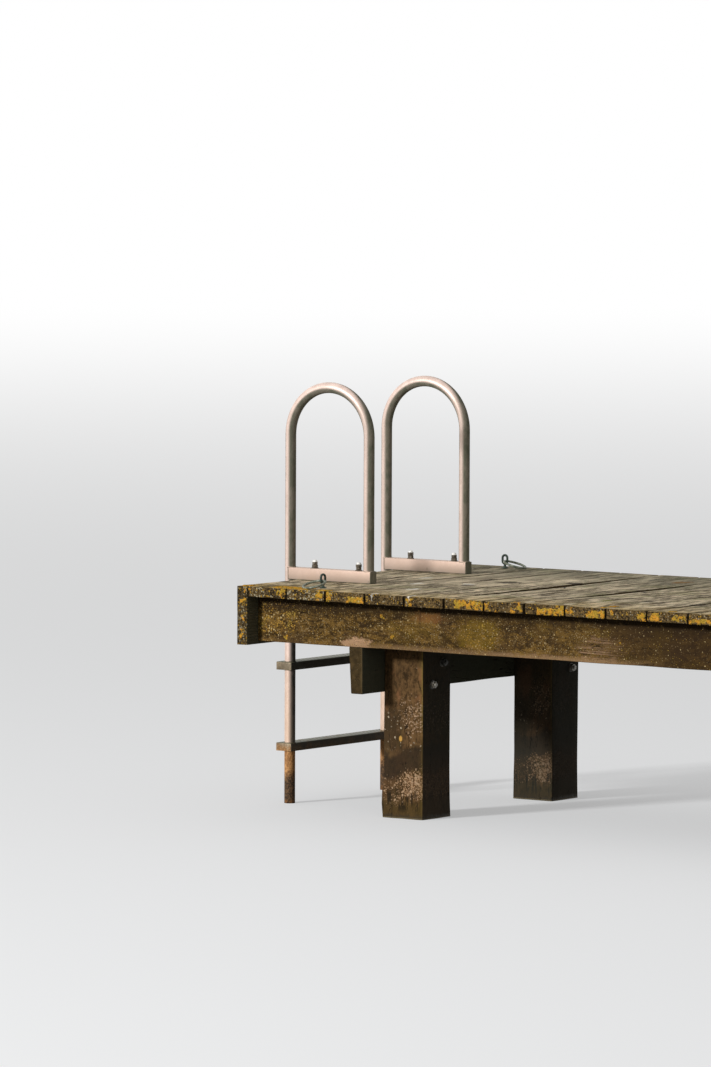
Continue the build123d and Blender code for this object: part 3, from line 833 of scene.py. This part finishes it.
def stainless_finish(name, dull, bright, algae=0.0):
    """Satin steel, painted shade away from the lamp, rusty under the lower rung; algae take the
    rungs.
    """
    steel = Finish(name)
    height = steel.z
    brushed = steel.cloud((30, 240, 30), detail=3.0, roughness=0.6)
    mottle = steel.cloud((26, 26, 13), (2, 7, 1), 6.0, 0.66)
    grit = steel.cloud((190, 190, 150), (2, 1, 1), 3.0, 0.6)
    ragged = height + (mottle - 0.5) * 0.1
    tea = (height + (mottle - 0.5) * 0.12).step(0.7, 0.22)
    low_down = height.step(0.85, 0.74)
    # Painted shade: faces turned from the lamp are painted dark, dull and less metallic, below the
    # deck from a wider angle.
    lee = steel.toward(sunward)
    painted_shade = lee.step(1.1, 0.55) * (1 - low_down) + lee.step(0.85, 0.1) * low_down
    painted_shade = painted_shade * (0.85 + mottle.step(0.4, 0.6) * 0.15)
    # A painted dark reflection along the lakeward edge, above the deck.
    painted_shade = painted_shade + steel.toward(dark_reflection_side).step(0.86, 0.99) * (1 - low_down) * 0.42
    rust = ragged.step(0.225, 0.19) * height.step(0.232, 0.222)
    rust_tone = (grit * 0.5 + mottle * 0.5).step(0.4, 0.6)
    wet = ragged.step(0.135, 0.075)
    wet_colour = steel.mix(grit.step(0.46, 0.6), (0.03, 0.02, 0.012), (0.155, 0.085, 0.04))
    # The painted shade is darker below the deck.
    painted_shade_colour = steel.mix(low_down, (0.115, 0.12, 0.08), (0.046, 0.047, 0.038))
    rust_colour = steel.mix(rust_tone, (0.3, 0.125, 0.03), (0.74, 0.37, 0.125))
    satin = steel.mix((mottle * 0.7 + grit * 0.3).step(0.4, 0.6), dull, bright)
    colour = steel.layered(satin, [
        (steel.specks(0.024, 0.3, 0.2) * 0.35, (0.26, 0.19, 0.13)),
        (tea * (0.4 - algae * 0.4), (0.76, 0.49, 0.27)),
        (steel.face_z.step(0.4, 0.8) * algae, (0.085, 0.095, 0.055)),
        (painted_shade * (0.97 - algae * 0.16), painted_shade_colour),
        (rust * (0.92 - algae * 0.35) * (1 - painted_shade * algae), rust_colour),
        (wet * 0.95, wet_colour),
        (ragged.step(0.022, 0.008) * grit.step(0.4, 0.6) * 0.8, (0.26, 0.11, 0.03)),
    ])
    dirt_and_painted_shade = rust.maximum(wet).maximum(painted_shade)
    relief = brushed * 0.15 + mottle * 0.2 + grit * (0.1 + dirt_and_painted_shade * 0.5)
    return steel.surface(colour, 0.42 + dirt_and_painted_shade * 0.45, relief, 0.0012, 0.3 * (1 - dirt_and_painted_shade), 0.3)


def add_bead(bm, centre, radius, angle, start, size, steps, sides=8):
    """Adds a weld bead or a ring: a round section run round an upright axis."""
    round_z = Matrix.Rotation(start, 4, "Z")
    stand = Matrix.Translation(centre) @ round_z @ Matrix.Translation((radius, 0, 0))
    ring = bmesh.ops.create_circle(bm, segments=sides, radius=size, matrix=stand @ upright)
    edges = list(dict.fromkeys(edge for vert in ring["verts"] for edge in vert.link_edges))
    bmesh.ops.spin(
        bm,
        geom=ring["verts"] + edges,
        cent=centre,
        axis=(0, 0, 1),
        angle=angle,
        steps=steps,
        use_merge=angle > math.pi,
    )


stainless = stainless_finish("stainless", (0.62, 0.447, 0.353), (0.66, 0.483, 0.387))
rail_places = {}
for side in ("near", "far"):
    rail_low, rail_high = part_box(f"{side}_handrail")
    tube_radius = (rail_high.y - rail_low.y) / 2
    stringer = Vector((rail_low.x + tube_radius, (rail_low.y + rail_high.y) / 2, 0.0))
    leg = Vector((rail_high.x - tube_radius, stringer.y, 0.0))
    rail_places[side] = (stringer, leg)
    low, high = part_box(f"{side}_base_box")
    low.x = stringer.x + bead
    bm = bmesh.new()
    add_block(bm, low, high)
    ease(bm, bm.edges[:], box_corner, 3)
    plate = [face for face in bm.faces if face.normal.x > 0.99]
    bmesh.ops.inset_region(bm, faces=plate, thickness=plate_inset, depth=-plate_sunk)
    seam = Vector((high.x - box_plate, 0.0, 0.0))
    everything = bm.verts[:] + bm.edges[:] + bm.faces[:]
    bmesh.ops.bisect_plane(bm, geom=everything, plane_co=seam, plane_no=(1, 0, 0))
    top = Vector((0.0, 0.0, high.z))
    add_bead(bm, stringer + top, tube_radius, math.pi, -math.pi / 2, bead, 20)
    add_bead(bm, leg + top, tube_radius, 2 * math.pi, 0.0, bead, 40)
    for sign in (-1, 1):
        aside = sign * (tube_radius - bead_bite)
        foot = Vector((stringer.x + bead_set, stringer.y + aside, low.z))
        add_turned(bm, 8, [(bead, 0.0), (bead, high.z - low.z)], Matrix.Translation(foot))
    finished(bm, f"{side}_foot_box", stainless, [f"{side}_base_box"])

# Ladder tubes: each is one 40 mm stainless tube, stringer and handrail in one, bent over in
# a half-circle above the deck. Satin and warm in the sun, with painted shade on the side away
# from the lamp and below the deck and a painted dark reflection along the lakeward edge, orange
# with rust below the lower rung and black with wet growth at the water.


def drawn_on(bm, edges, shift):
    """Extrudes the rim of a section along a straight length and hands back the new rim."""
    grown = bmesh.ops.extrude_edge_only(bm, edges=edges)["geom"]
    new = only(BMVert, grown)
    bmesh.ops.translate(bm, vec=shift, verts=new)
    return [edge for edge in only(BMEdge, grown) if all(vert in new for vert in edge.verts)]


def bent_over(bm, edges, centre, steps):
    """Turns the rim half round about a level crosswise axis and hands back the new rim."""
    verts = list(dict.fromkeys(vert for edge in edges for vert in edge.verts))
    spun = bmesh.ops.spin(
        bm, geom=verts + edges, cent=centre, axis=(0, 1, 0), angle=math.pi, steps=steps
    )
    return only(BMEdge, spun["geom_last"])


tube_wall = 0.0025
tube_sides = 40
bend_steps = 36
tube_steel = stainless_finish("tube_steel", (0.72, 0.55, 0.47), (0.88, 0.68, 0.59))
box_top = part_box("near_base_box")[1].z
for side, (stringer, leg) in rail_places.items():
    bend_radius = (leg.x - stringer.x) / 2
    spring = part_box(f"{side}_handrail")[1].z - tube_radius - bend_radius
    bm = bmesh.new()
    place = Matrix.Translation(stringer)
    bmesh.ops.create_circle(bm, segments=tube_sides, radius=tube_radius, matrix=place)
    rim = drawn_on(bm, bm.edges[:], (0, 0, spring))
    rim = bent_over(bm, rim, stringer + Vector((bend_radius, 0.0, spring)), bend_steps)
    drawn_on(bm, rim, (0, 0, box_top - spring))
    bmesh.ops.recalc_face_normals(bm, faces=bm.faces)
    bmesh.ops.solidify(bm, geom=bm.faces[:], thickness=tube_wall)
    finished(bm, f"{side}_tube", tube_steel, [f"{side}_handrail"])

# Rungs: two trays folded from stainless sheet, open below, pushed over both stringers and
# welded. The tops have rows of pressed-up studs for grip and a greenish film between them.

rung_sheet = 0.0025
rung_corner = 0.004
stud_rows, stud_columns = 3, 30
stud_side, stud_end = 0.014, 0.018
stud_radius, stud_height, stud_foot = 0.0042, 0.001, 0.0002
stud_profile = [(stud_radius, 0.0), (stud_radius * 0.6, stud_height)]
rung_steel = stainless_finish("rung_steel", (0.115, 0.091, 0.056), (0.25, 0.195, 0.125), 0.85)
for name in ("upper_rung", "lower_rung"):
    low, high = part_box(name)
    bm = bmesh.new()
    add_block(bm, low, high)
    open_side = [face for face in bm.faces if face.normal.z < -0.99]
    bmesh.ops.delete(bm, geom=open_side, context="FACES_ONLY")
    ease(bm, [edge for edge in bm.edges if len(edge.link_faces) == 2], rung_corner, 3)
    bmesh.ops.recalc_face_normals(bm, faces=bm.faces)
    bmesh.ops.solidify(bm, geom=bm.faces[:], thickness=rung_sheet)
    top = Vector((0.0, 0.0, high.z))
    for stringer, leg in rail_places.values():
        add_bead(bm, stringer + top, tube_radius, 2 * math.pi, 0.0, bead * 0.8, 40)
    for column in range(stud_columns):
        for row in range(stud_rows):
            y = low.y + stud_end + column * (high.y - low.y - 2 * stud_end) / (stud_columns - 1)
            x = low.x + stud_side + row * (high.x - low.x - 2 * stud_side) / (stud_rows - 1)
            spot = Vector((x, y, 0.0))
            clear = min((spot - stringer).length for stringer, leg in rail_places.values())
            if clear > tube_radius + 2 * stud_radius:
                place = Matrix.Translation((x, y, high.z - stud_foot))
                add_turned(bm, 8, stud_profile, place)
    finished(bm, f"{name}_tray", rung_steel, [name])

# Base bolts: a stainless through-bolt at two places on each box, with a washer, a nut and
# a domed nut on top. The hexagons are dull with dirt, and the rain keeps the domes bright.

base_washer, base_washer_thickness = 0.027, 0.0025
base_across, base_nut_height, base_head_height = 0.019, 0.01, 0.0075
dome_hex_height, dome_radius, dome_tip, dome_arc, dome_turn = 0.012, 0.0087, 0.0002, 6, 0.5
bolts_low, bolts_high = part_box("base_bolts")
deck_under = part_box("deck_boards_1")[0].z
dome_foot = box_top + base_washer_thickness + base_nut_height + dome_hex_height
dome = []
for step in range(dome_arc + 1):
    angle = math.pi / 2 * step / dome_arc
    radius = dome_radius * math.cos(angle) + dome_tip
    dome.append((radius, dome_foot + (bolts_high.z - dome_foot) * math.sin(angle)))
fastener_steel = steel_finish(
    "fastener_steel", (0.2, 0.17, 0.13), (0.075, 0.062, 0.045), 0.2, 0.5, dome_foot,
    (0.9, 0.88, 0.84),
)
bm = bmesh.new()
for x in (bolts_low.x + base_washer / 2, bolts_high.x - base_washer / 2):
    for y in (bolts_low.y + base_washer / 2, bolts_high.y - base_washer / 2):
        spin = Matrix.Rotation(turn.uniform(0.0, 1.0), 4, "Z")
        raised = Matrix.Translation((0, 0, base_washer_thickness)) @ spin
        above = Matrix.Translation((x, y, box_top))
        below = Matrix.Translation((x, y, deck_under)) @ Matrix.Rotation(math.pi, 4, "X")
        for face, height in ((above, base_nut_height), (below, base_head_height)):
            add_turned(bm, 28, washer(base_washer, base_washer_thickness), face)
            add_turned(bm, 6, hexagon(base_across, height), face @ raised)
        lift = Matrix.Translation((0, 0, base_nut_height))
        cap = above @ raised @ lift @ Matrix.Rotation(dome_turn, 4, "Z")
        add_turned(bm, 6, hexagon(base_across, dome_hex_height), cap)
        add_turned(bm, 24, dome, Matrix.Translation((x, y, 0)))
finished(bm, "foot_box_bolts", fastener_steel, ["base_bolts"])

# Mooring eyes: forged eyes with a long loop, a collar and a shank, screwed down through
# a board into each outer beam. Hot-dip galvanised, gone dark grey-green.

eye_rod, eye_arc = 0.0043, 0.0095
eye_low, eye_high = 0.0275, 0.0402
eye_collar, eye_collar_height, eye_neck = 0.013, 0.004, 0.0055
shank_radius, shank_point = 0.005, 0.006
galvanised = steel_finish("galvanised", (0.05, 0.078, 0.056), (0.012, 0.024, 0.017), 0.0, 0.1)
swings = {joint["child"]: joint for joint in frame["joints"]}
ring_places = {}
for side in ("near", "far"):
    swing = swings[f"{side}_ring"]
    heading = Matrix.Rotation(math.atan2(swing["axis"][0], -swing["axis"][1]), 4, "Z")
    ring_places[side] = Matrix.Translation(swing["pos_m"]) @ heading
    shank_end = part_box(f"{side}_mooring_eye")[0].z - deck_top
    on_deck = Matrix.Translation((swing["pos_m"][0], swing["pos_m"][1], deck_top))
    bm = bmesh.new()
    section = Matrix.Translation((-eye_arc, 0, eye_low))
    bmesh.ops.create_circle(bm, segments=14, radius=eye_rod, matrix=section)
    rim = drawn_on(bm, bm.edges[:], (0, 0, eye_high - eye_low))
    rim = bent_over(bm, rim, (0, 0, eye_high), 14)
    rim = drawn_on(bm, rim, (0, 0, eye_low - eye_high))
    bent_over(bm, rim, (0, 0, eye_low), 14)
    bmesh.ops.remove_doubles(bm, verts=bm.verts, dist=1e-6)
    shank = [
        (shank_radius - 0.001, shank_end),
        (shank_radius, shank_end + shank_point),
        (shank_radius, 0.0),
        (eye_collar, 0.0002),
        (eye_collar, eye_collar_height - 0.001),
        (eye_collar - 0.0015, eye_collar_height),
        (eye_neck + 0.002, eye_collar_height + 0.0005),
        (eye_neck, eye_collar_height + 0.003),
        (eye_neck * 0.85, eye_low - eye_arc - eye_rod),
        (eye_neck * 0.5, eye_low - eye_arc),
    ]
    add_turned(bm, 20, shank, Matrix.Identity(4))
    bmesh.ops.transform(bm, matrix=on_deck @ heading, verts=bm.verts)
    finished(bm, f"{side}_eye", galvanised, [f"{side}_mooring_eye"])

# Mooring rings: one welded ring of stout rod hangs loose in each eye, its other side resting
# on the deck. They have the eyes' zinc, rubbed paler by ropes.

cad_rod, ring_rod, ring_radius = 0.0035, 0.0044, 0.0415
ring_zinc = steel_finish("ring_zinc", (0.32, 0.33, 0.25), (0.075, 0.095, 0.068), 0.0, 0.15)
for side, place in ring_places.items():
    name = f"{side}_mooring_ring"
    low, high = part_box(name)
    lean = math.asin((high.z - low.z - 2 * cad_rod) / (2 * ring_radius))
    outward = Matrix.Translation((ring_radius, 0, 0))
    bm = bmesh.new()
    add_bead(bm, (0, 0, 0), ring_radius, 2 * math.pi, 0.0, ring_rod, 56, 14)
    tilted = place @ Matrix.Rotation(lean, 4, "Y") @ outward
    bmesh.ops.transform(bm, matrix=tilted, verts=bm.verts)
    bmesh.ops.remove_doubles(bm, verts=bm.verts, dist=1e-6)
    ring_body = f"{side}_ring"
    finished(bm, f"{side}_ring_rod", ring_zinc, [name], body=ring_body)

# Lichen: crusts of orange and yellow lichen grow on the board ends, thickest beside the
# gaps and along the lower edge where they stay damp, on the fascia's ends, and as single
# round crusts on the beam's face.

near_end_crusts = [
    (0, 0.118, 0.167, 0.004, 0.038, 0.6),
    (0, 0.0, 0.02, 0.02, 0.038, 0.4),
    (1, 0.13, 0.167, 0.002, 0.038, 0.7),
    (2, 0.0, 0.026, 0.0, 0.038, 0.9),
    (2, 0.088, 0.167, 0.0, 0.024, 0.9),
    (3, 0.0, 0.018, 0.002, 0.036, 0.5),
    (4, 0.0, 0.04, 0.0, 0.03, 0.7),
    (5, 0.04, 0.12, 0.004, 0.036, 0.85),
    (5, 0.115, 0.167, 0.002, 0.038, 0.9),
    (6, 0.0, 0.022, 0.004, 0.036, 0.8),
    (6, 0.045, 0.066, 0.0, 0.008, 0.8),
    (6, 0.1, 0.15, 0.0, 0.014, 0.8),
    (6, 0.14, 0.167, 0.004, 0.038, 0.6),
    (7, 0.05, 0.15, 0.0, 0.026, 0.9),
    (7, 0.135, 0.167, 0.002, 0.038, 0.9),
    (8, 0.0, 0.032, 0.004, 0.036, 0.5),
    (8, 0.088, 0.167, 0.0, 0.028, 1.0),
    (9, 0.014, 0.03, 0.01, 0.034, 0.6),
    (9, 0.128, 0.167, 0.0, 0.03, 0.6),
    (10, 0.0, 0.062, 0.002, 0.032, 0.8),
    (10, 0.1, 0.167, 0.004, 0.03, 0.5),
    (11, 0.0, 0.167, 0.0, 0.022, 0.8),
]
top_crusts = [
    (-1.185, -0.69, 0.024, 0.09),
    (-0.9, -0.695, 0.03, 0.03),
    (-1.56, -0.694, 0.04, 0.02),
    (-2.64, -0.694, 0.17, 0.075),
    (-2.772, -0.696, 0.045, 0.06),
    (-2.43, -0.694, 0.06, 0.04),
]
beam_crusts = [
    (-2.602, 0.648, 0.0095),
    (-2.125, 0.673, 0.0095),
    (-2.174, 0.746, 0.007),
    (-2.165, 0.739, 0.0045),
    (-1.135, 0.704, 0.0048),
    (-1.685, 0.675, 0.0042),
    (-0.4, 0.69, 0.006),
    (0.62, 0.735, 0.0075),
    (1.44, 0.668, 0.0055),
    (2.21, 0.712, 0.008),
]


def add_crust(bm, place, facing, radius, chance):
    """Adds one low lump of lichen at a place on a face: a squashed ball."""
    turned = Vector((0, 0, 1)).rotation_difference(facing).to_matrix().to_4x4()
    spin = Matrix.Rotation(chance.uniform(0.0, any_turn), 4, "Z")
    squash = Matrix.Diagonal((radius, radius * chance.uniform(*crust_oval), crust_height, 1))
    matrix = Matrix.Translation(place) @ turned @ spin @ squash
    bmesh.ops.create_icosphere(bm, subdivisions=1, radius=1, matrix=matrix)


def cover(bm, low, high, facing, share):
    """Lays a lumpy sheet of lichen over a patch between two corners, torn and thin at its rim."""
    normal = max(range(3), key=lambda axis: abs(facing[axis]))
    level, rise = [axis for axis in range(3) if axis != normal]
    size = high - low
    size[normal] = 1
    spread = Matrix.Translation((low + high) / 2)
    for column, axis in enumerate((level, rise, normal)):
        for row in range(3):
            spread[row][column] = size[axis] if row == axis else 0
    sheet = bmesh.new()
    cells = [max(2, round(size[axis] / lichen_cell)) for axis in (level, rise)]
    bmesh.ops.create_grid(sheet, x_segments=cells[0], y_segments=cells[1], size=0.5, matrix=spread)
    bare = []
    for face in sheet.faces:
        place = face.calc_center_median()
        rims = [min(place[axis] - low[axis], high[axis] - place[axis]) for axis in (level, rise)]
        inside = min(1.0, min(rims) / lichen_rim)
        torn = noise.noise(place * tears) + noise.noise(place * fine_tears) * 0.7
        if torn + inside * 0.6 + share * 0.75 < 0.7:
            bare.append(face)
    bmesh.ops.delete(sheet, geom=bare, context="FACES")
    for vert in sheet.verts:
        rim = any(edge.is_boundary for edge in vert.link_edges)
        lump = lichen_least + lichen_lump * max(0.0, noise.noise(vert.co * bumps) + 0.3)
        vert.co += noise.noise_vector(vert.co * ruffles) * lichen_ruffle
        vert.co += facing * (-lichen_sunk if rim else lump)
    pour(sheet, bm)


def lichen_finish():
    lichen = Finish("lichen")
    patches = lichen.cloud((55, 55, 55), detail=3.0, roughness=0.6).step(0.42, 0.58)
    crumbs = lichen.cloud((330, 330, 330), detail=2.0)
    pale = lichen.cloud((80, 80, 80), (7, 3, 2)).step(0.62, 0.7)
    colour = lichen.layered(lichen.mix(patches, (0.46, 0.295, 0.036), (0.68, 0.315, 0.032)), [
        (crumbs.step(0.52, 0.4) * 0.75, (0.16, 0.09, 0.015)),
        (pale * 0.6, (0.5, 0.46, 0.26)),
    ])
    return lichen.surface(colour, 0.9, crumbs, 0.001)


lichen = lichen_finish()
lichen_cell, lichen_rim, lichen_sunk = 0.002, 0.011, 0.0008
lichen_least, lichen_lump, lichen_ruffle = 0.0005, 0.0022, 0.0007
tears, fine_tears, bumps, ruffles = 75, 230, 330, 410
unseen_chance, unseen_widths, unseen_heights = 0.75, (0.015, 0.075), (0.014, 0.038)
unseen_shares = (0.4, 0.9)
fascia_share, top_share = -0.06, 0.6
end_off, fascia_off, top_off = 0.0006, 0.0002, 0.0004
crust_height, crust_lumps, crust_oval, any_turn = 0.0016, 9, (0.7, 1.0), 6.28
far_crusts, far_x, far_z, far_radii = 26, (-2.6, 2.7), (0.66, 0.78), (0.003, 0.008)
grows = random.Random(23)
for side, sign, end in (("near", -1, boards_low.y), ("far", 1, boards_high.y)):
    outward = Vector((0, sign, 0))
    crusts = list(near_end_crusts) if side == "near" else []
    for board in range(seen_boards if side == "near" else 0, board_count):
        for edge in (0, 1):
            if grows.random() < unseen_chance:
                width = grows.uniform(*unseen_widths)
                start = 0.0 if edge == 0 else board_width - width
                height = grows.uniform(*unseen_heights)
                share = grows.uniform(*unseen_shares)
                crusts.append((board, start, start + width, 0.0, height, share))
    bm = bmesh.new()
    for board, start, stop, low_edge, high_edge, share in crusts:
        x = boards_low.x + board * board_pitch
        out = end_places[sign][board] + sign * end_off
        low = Vector((x + start, out, deck_under + low_edge))
        high = Vector((x + stop, out, deck_under + high_edge))
        cover(bm, low, high, outward, share)
    out = end + sign * fascia_off
    low = Vector((fascia_low.x + 0.001, out, fascia_low.z + 0.002))
    high = Vector((fascia_high.x - 0.001, out, fascia_high.z - 0.001))
    cover(bm, low, high, outward, fascia_share)
    finished(bm, f"{side}_end_lichen", lichen, sharp=60.0)

bm = bmesh.new()
for x, y, width, length in top_crusts:
    low = Vector((x, y, deck_top + top_off))
    cover(bm, low, low + Vector((width, length, 0.0)), Vector((0, 0, 1)), top_share)
finished(bm, "deck_lichen", lichen, sharp=60.0)

bm = bmesh.new()
for x, z, radius in beam_crusts:
    for _ in range(crust_lumps):
        angle = grows.uniform(0.0, any_turn)
        reach = radius * math.sqrt(grows.random()) * 0.75
        place = Vector((x + reach * math.cos(angle), beam_face, z + reach * math.sin(angle)))
        add_crust(bm, place, Vector((0, -1, 0)), radius * 0.5, grows)
far_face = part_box("far_beam_1")[1].y
for _ in range(far_crusts):
    place = Vector((grows.uniform(*far_x), far_face, grows.uniform(*far_z)))
    add_crust(bm, place, Vector((0, 1, 0)), grows.uniform(*far_radii), grows)
finished(bm, "beam_lichen", lichen, sharp=60.0)

# Stage: a plain pale floor at the waterline that fades to white far off, a white studio,
# one broad soft lamp high on the lake side and an even fill. The camera stands where the
# photograph was taken from.


class WorldFinish(Finish):
    """The studio's walls, mixed as a material is."""

    def __init__(self, world):
        self.tree = world.node_tree
        self.tree.nodes.clear()


def lit_by_eye(finish):
    """1 where the camera, a reflection or a look through glass meets the surface first."""
    kinds = ("Is Camera Ray", "Is Glossy Ray", "Is Transmission Ray")
    camera, glossy, glass = (finish.node("LightPath", output=kind) for kind in kinds)
    return camera.maximum(glossy).maximum(glass)


white = (1.0, 1.0, 1.0)
floor_radius = 300.0
fade_start, fade_end, least_white = 4.0, 45.0, 0.38
floor_finish = Finish("pale_floor")
eye = lit_by_eye(floor_finish)
colour = floor_finish.mix(eye, (0.2, 0.2, 0.2), (0.86, 0.87, 0.88))
matte = floor_finish.node("BsdfDiffuse", inputs={"Color": colour})
glow = floor_finish.node("Emission", inputs={"Color": white, "Strength": 1.0})
away = floor_finish.place.length().step(fade_start, fade_end)
fade = (least_white + away * (1 - least_white)) * eye
floor_finish.output(floor_finish.node("MixShader", inputs={0: fade, 1: matte, 2: glow}))
bm = bmesh.new()
bmesh.ops.create_circle(bm, cap_ends=True, segments=96, radius=floor_radius)
floor = linked(bm, "floor", floor_finish)

world_light = 0.35
world = bpy.data.worlds.new("studio")
world.use_nodes = True
studio = WorldFinish(world)
strength = world_light + lit_by_eye(studio) * (1 - world_light)
walls = studio.node("Background", inputs={"Color": white, "Strength": strength})
studio.output(walls, "World")
bpy.context.scene.world = world

lamp_target = Vector((-0.6, 0.0, 0.7))
lamp_away, lamp_width, lamp_power = 25.0, 3.0, 4900.0
lamp_place = lamp_target + Vector((-0.352, -0.871, 0.342)) * lamp_away
lamp_data = bpy.data.lights.new("soft_key", "AREA")
lamp_data.shape = "SQUARE"
lamp_data.size = lamp_width
lamp_data.energy = lamp_power
lamp = bpy.data.objects.new("soft_key", lamp_data)
lamp.location = lamp_place
lamp.rotation_mode = "QUATERNION"
lamp.rotation_quaternion = (lamp_target - lamp_place).to_track_quat("-Z", "Y")
bpy.context.scene.collection.objects.link(lamp)

camera_place = Vector((14.6348, -23.9822, 3.1116))
azimuth, pitch, roll = (math.radians(angle) for angle in (35.94, 4.11, 0.22))
photo_long_side = 1067
focal_in_pixels = 8000.0
camera_data = bpy.data.cameras.new("camera")
camera_data.sensor_width = 36.0
camera_data.lens = camera_data.sensor_width * focal_in_pixels / photo_long_side
camera_data.clip_end = 600.0
ahead = Vector((-math.sin(azimuth), math.cos(azimuth), -math.tan(pitch))).normalized()
level = Vector((math.cos(azimuth), math.sin(azimuth), 0.0))
right = level * math.cos(roll) + level.cross(ahead) * math.sin(roll)
facing = Matrix((right, right.cross(ahead), -ahead)).transposed().to_4x4()
camera = bpy.data.objects.new("camera", camera_data)
camera.matrix_world = Matrix.Translation(camera_place) @ facing
bpy.context.scene.collection.objects.link(camera)
bpy.context.scene.camera = camera

view = bpy.context.scene.view_settings
view.view_transform = "Standard"
